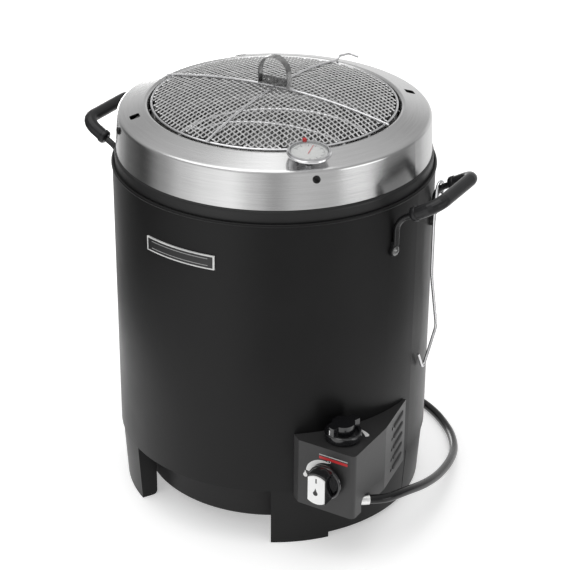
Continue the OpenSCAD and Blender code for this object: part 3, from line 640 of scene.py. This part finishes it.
# -------------------------------------------------- collars at the grips' ends
ELBOW_X, ELBOW_Y, ELBOW_Z = 0.262, 0.05329, 0.47985     # the bends under the right grip, one at each ELBOW_Y
ROD_SLOPE = math.radians(31)
COLLAR_BACK = 0.038                                     # from a bend down the rod to the grip's end
COLLAR = [(0.0044, -0.0012), (0.0072, -0.0012), (0.0085, 0.0), (0.0094, 0.0012), (0.0096, 0.0040),
          (0.0094, 0.0066), (0.0086, 0.0074), (0.0044, 0.0070)]

along = Vector((math.cos(ROD_SLOPE), 0, math.sin(ROD_SLOPE)))
collars = []
for right in (True, False):
    for side in (1, -1):
        end = Vector((ELBOW_X, ELBOW_Y * side, ELBOW_Z)) - COLLAR_BACK * along
        v, f = lathe_ring(COLLAR, 40)
        v = moved(v, Matrix.Translation(end) @ along.to_track_quat("Z", "Y").to_matrix().to_4x4())
        if not right:
            v = [Vector((-q.x, q.y, q.z)) for q in v]
            f = [q[::-1] for q in f]
        collars.append((v, f))
v, f = merge(collars)
sharp_edges(add_mesh("grip_collars", v, f, M["grip"], "pot"), 40)


# -------------------------------------------------- rolled lip round the shell's top edge
LIP_RADIUS, LIP_RING, LIP_DOWN = 0.0022, 0.2092, 0.002
lip_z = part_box("outer_shell")[1][2] - LIP_DOWN
lip = [(LIP_RING + LIP_RADIUS * math.cos(2 * PI * i / 20), lip_z + LIP_RADIUS * math.sin(2 * PI * i / 20))
       for i in range(20)]
v, f = lathe_ring(lip, 240)
add_mesh("shell_lip", v, f, M["shell"], "pot")


# -------------------------------------------------- lid mesh
LID_RADIUS, LID_RISE, LID_RIM_Z = 0.1575, 0.0165, 0.5449
CELL, ROW, ZIGZAG = 0.0088, 0.0057, 0.38        # a diamond's width, the rows' spacing, a strand's swing
BOND = 0.20                                     # half of each flat where strands touch, in half cells
MESH_REACH, MESH_TURN = 0.1555, 25
STRAND_HALF, STRAND_THICK, STRAND_TILT, STRAND_LIFT = 0.00080, 0.00018, 48, 0.0002


def dome_z(x, y):
    """Height of the dome's middle surface."""
    r = (LID_RADIUS * LID_RADIUS + LID_RISE * LID_RISE) / (2 * LID_RISE)
    return LID_RIM_Z + LID_RISE - r + math.sqrt(max(r * r - x * x - y * y, 0))


def strand(pts):
    """A tilted flat wire along points."""
    verts, faces = [], []
    last = len(pts) - 1
    for i, p in enumerate(pts):
        t = (pts[min(i + 1, last)] - pts[max(i - 1, 0)]).normalized()
        spin = Matrix.Rotation(math.radians(STRAND_TILT), 3, t)
        s = spin @ t.cross(Vector((0, 0, 1))).normalized() * STRAND_HALF
        n = spin @ Vector((0, 0, STRAND_THICK))
        verts += [p + s - n, p + s + n, p - s + n, p - s - n]
    for i in range(last):
        for j in range(4):
            a, b = 4 * i + j, 4 * i + (j + 1) % 4
            faces.append((a, b, b + 4, a + 4))
    faces += [(3, 2, 1, 0), tuple(4 * last + j for j in range(4))]
    return verts, faces


def diamond_mesh():
    """Rows of zigzag strands that touch their neighbours along short flats, laid over the dome."""
    strands = []
    rows = int(MESH_REACH / ROW) + 1
    for k in range(-rows, rows + 1):
        y0 = k * ROW
        span = MESH_REACH * MESH_REACH - y0 * y0
        if span < 0.006 ** 2:       # too short to hold a diamond
            continue
        steps = int(math.sqrt(span) / (CELL / 2))
        pts = []
        for i in range(-steps, steps + 1):
            flip = 1 if (i + k) % 2 else -1
            for side in (-BOND, BOND):
                x = (i + side) * CELL / 2
                y = y0 + flip * ROW * ZIGZAG
                if x * x + y * y > MESH_REACH * MESH_REACH:
                    s = MESH_REACH / math.hypot(x, y)
                    x, y = x * s, y * s
                pts.append(Vector((x, y, dome_z(x, y) + flip * STRAND_LIFT)))
        strands.append(strand(pts))
    return merge(strands)


v, f = diamond_mesh()
lid_mesh = add_mesh("expanded_mesh", moved(v, turned(MESH_TURN, "Z")), f, M["mesh"], "lid",
                    smooth=False)
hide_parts("lid_mesh")


# -------------------------------------------------- floor and light
FLOOR_HALF, FLOOR_Z = 6, -0.0003
NEAR_FLOOR_RADIUS, NEAR_FLOOR_Z = 0.6, -0.00015
AREA_LIGHTS = [     # name, place, aimed at, size, power in watts
    ("top", (-0.3, -0.5, 3.0), (0, 0, 0.2), (3.0, 3.0), 36),
    ("right_side", (2.3, 0.1, 0.22), (0.2, -0.1, 0.2), (1.4, 0.6), 5),
    ("left_side", (-1.5, 1.4, 0.22), (-0.1, 0, 0.22), (0.9, 0.6), 8),
]
# The studio's brightness round the pot: degrees to the right of the camera's side, and the level there
STUDIO = [(-180, 0.95), (-158, 0.78), (-146, 0.46), (-127, 0.16), (-106, 0.06), (-85, 0.42), (-67, 0.86),
          (-48, 1.20), (-31, 1.40), (-12, 0.80), (0, 0.46), (16, 0.76), (40, 0.66), (66, 0.76), (84, 0.28),
          (106, 0.28), (125, 0.55), (140, 0.90), (160, 0.95), (180, 0.95)]
STUDIO_TURN = math.radians(59.5)
RAMP_SCALE = 2                              # a ramp's colours end at 1, so levels are halved in it
CEILING_FROM, CEILING_TO = 0.12, 0.5        # the walls blend into the ceiling between these slopes (0..1)
CEILING_LOW, CEILING_HIGH = 0.48, 0.75      # the ceiling's level at slopes 0.5 and 0.8

# The wide floor is not seen in the steel, the disc round the pot is
floor_paint = Finish("floor_paint").set(Base_Color=(0.92, 0.92, 0.92), Roughness=0.7,
                                        Emission_Color=(1.0, 1.0, 1.0), Emission_Strength=0.40)
corners = [Vector((x, y, FLOOR_Z)) for x, y in oblong(-FLOOR_HALF, -FLOOR_HALF, FLOOR_HALF, FLOOR_HALF)]
floor = add_mesh("floor", corners, [(0, 1, 2, 3)], floor_paint, None, smooth=False)
floor.visible_glossy = False
edge = [Vector((x, y, NEAR_FLOOR_Z)) for x, y in disc(NEAR_FLOOR_RADIUS, 96)]
near_floor = add_mesh("near_floor", edge, [tuple(range(96))], floor_paint, None, smooth=False)

for name, at, aim, size, power in AREA_LIGHTS:
    data = bpy.data.lights.new(name, "AREA")
    data.shape = "RECTANGLE"
    data.size, data.size_y = size
    data.energy = power
    ob = bpy.data.objects.new(name, data)
    ob.location = at
    ob.rotation_mode = "QUATERNION"
    ob.rotation_quaternion = (Vector(aim) - Vector(at)).to_track_quat("-Z", "Y")
    bpy.context.scene.collection.objects.link(ob)


def studio_world():
    """Bright and dark walls round the pot under an even ceiling; the camera itself sees white."""
    world = bpy.data.worlds.new("studio")
    world.use_nodes = True
    n = Shading(world.node_tree)
    mapping = n.new("ShaderNodeMapping", Vector=n.new("ShaderNodeTexCoord").outputs["Generated"],
                    Rotation=(0, 0, STUDIO_TURN))
    x, y, z = n.split(mapping.outputs[0])
    round_pot = n.math("DIVIDE", n.math("ARCTAN2", y, x), 2 * PI)
    ramp = n.new("ShaderNodeValToRGB", Fac=n.math("ADD", round_pot, 0.5))
    ramp.color_ramp.interpolation = "EASE"
    stops = ramp.color_ramp.elements
    for k, (degrees, level) in enumerate(STUDIO):
        at = (degrees + 180) / 360
        stop = stops[0] if k == 0 else stops[-1] if k == len(STUDIO) - 1 else stops.new(at)
        stop.position = at
        stop.color = (*[level / RAMP_SCALE] * 3, 1)
    walls = n.math("MULTIPLY", ramp.outputs[0], RAMP_SCALE)
    up = n.remap(z, 0, 1, CEILING_FROM, CEILING_TO, "SMOOTHSTEP")
    ceiling = n.math("MULTIPLY", up, n.remap(z, CEILING_LOW, CEILING_HIGH, 0.5, 0.8))
    level = n.math("ADD", n.math("MULTIPLY", walls, n.math("SUBTRACT", 1.0, up)), ceiling)
    seen = n.math("MAXIMUM", level, n.new("ShaderNodeLightPath").outputs["Is Camera Ray"])
    n.put_all(world.node_tree.nodes["Background"], {"Color": (1, 1, 1), "Strength": seen})
    return world


bpy.context.scene.world = studio_world()
bpy.context.scene.view_settings.view_transform = "Standard"
